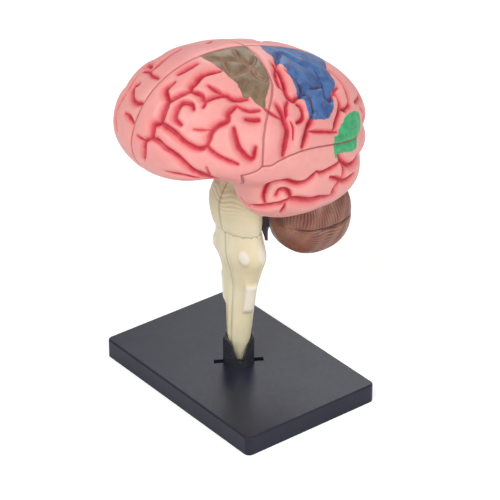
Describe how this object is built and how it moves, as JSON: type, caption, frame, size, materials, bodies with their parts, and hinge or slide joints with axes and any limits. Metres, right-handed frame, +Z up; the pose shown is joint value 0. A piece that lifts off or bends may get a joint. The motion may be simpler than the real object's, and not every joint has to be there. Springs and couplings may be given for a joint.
{
  "type": "take-apart brain anatomy model on a stand",
  "caption": "Take-apart brain model with separate lobes on a pegged core, cerebellum and stem, standing in a collar on a black slab.",
  "frame": {"origin": "Centre of the slab's underside, on the surface that the model stands on.", "axes": "+Z up. +X towards the brain's forehead, +Y towards its left side. The slab's long side runs along Y."},
  "size_m": [0.108, 0.098, 0.1555],
  "materials": {
    "base_black": "satin",
    "collar_black": "satin",
    "stem_cream": "satin",
    "ventricle_grey": "satin",
    "callosum_white": "satin",
    "cerebellum_brown": "satin",
    "cortex_left": "satin",
    "cortex_right": "satin"
  },
  "bodies": {
    "stand_and_core": {"base": "base_black", "socket_collar": "collar_black", "stem_left": "stem_cream", "stem_right": "stem_cream", "ventricles": "ventricle_grey", "corpus_callosum": "callosum_white"},
    "frontal_left": {"frontal_lobe_left": "cortex_left"},
    "frontal_right": {"frontal_lobe_right": "cortex_right"},
    "parietal_left": {"parietal_lobe_left": "cortex_left"},
    "parietal_right": {"parietal_lobe_right": "cortex_right"},
    "temporal_left": {"temporal_lobe_left": "cortex_left"},
    "temporal_right": {"temporal_lobe_right": "cortex_right"},
    "cerebellum_half_left": {"cerebellum_left": "cerebellum_brown"},
    "cerebellum_half_right": {"cerebellum_right": "cerebellum_brown"}
  },
  "joints": [
    {"name": "frontal_left_slide", "type": "slide", "parent": "stand_and_core", "child": "frontal_left", "axis": [0, 1, 0], "range_m": [0, 0.045]},
    {"name": "frontal_right_slide", "type": "slide", "parent": "stand_and_core", "child": "frontal_right", "axis": [0, -1, 0], "range_m": [0, 0.045]},
    {"name": "parietal_left_slide", "type": "slide", "parent": "stand_and_core", "child": "parietal_left", "axis": [0, 1, 0], "range_m": [0, 0.045]},
    {"name": "parietal_right_slide", "type": "slide", "parent": "stand_and_core", "child": "parietal_right", "axis": [0, -1, 0], "range_m": [0, 0.045]},
    {"name": "temporal_left_slide", "type": "slide", "parent": "stand_and_core", "child": "temporal_left", "axis": [0, 1, 0], "range_m": [0, 0.045]},
    {"name": "temporal_right_slide", "type": "slide", "parent": "stand_and_core", "child": "temporal_right", "axis": [0, -1, 0], "range_m": [0, 0.045]},
    {"name": "cerebellum_left_slide", "type": "slide", "parent": "stand_and_core", "child": "cerebellum_half_left", "axis": [-1, 0, 0], "range_m": [0, 0.03]},
    {"name": "cerebellum_right_slide", "type": "slide", "parent": "stand_and_core", "child": "cerebellum_half_right", "axis": [-1, 0, 0], "range_m": [0, 0.03]}
  ]
}
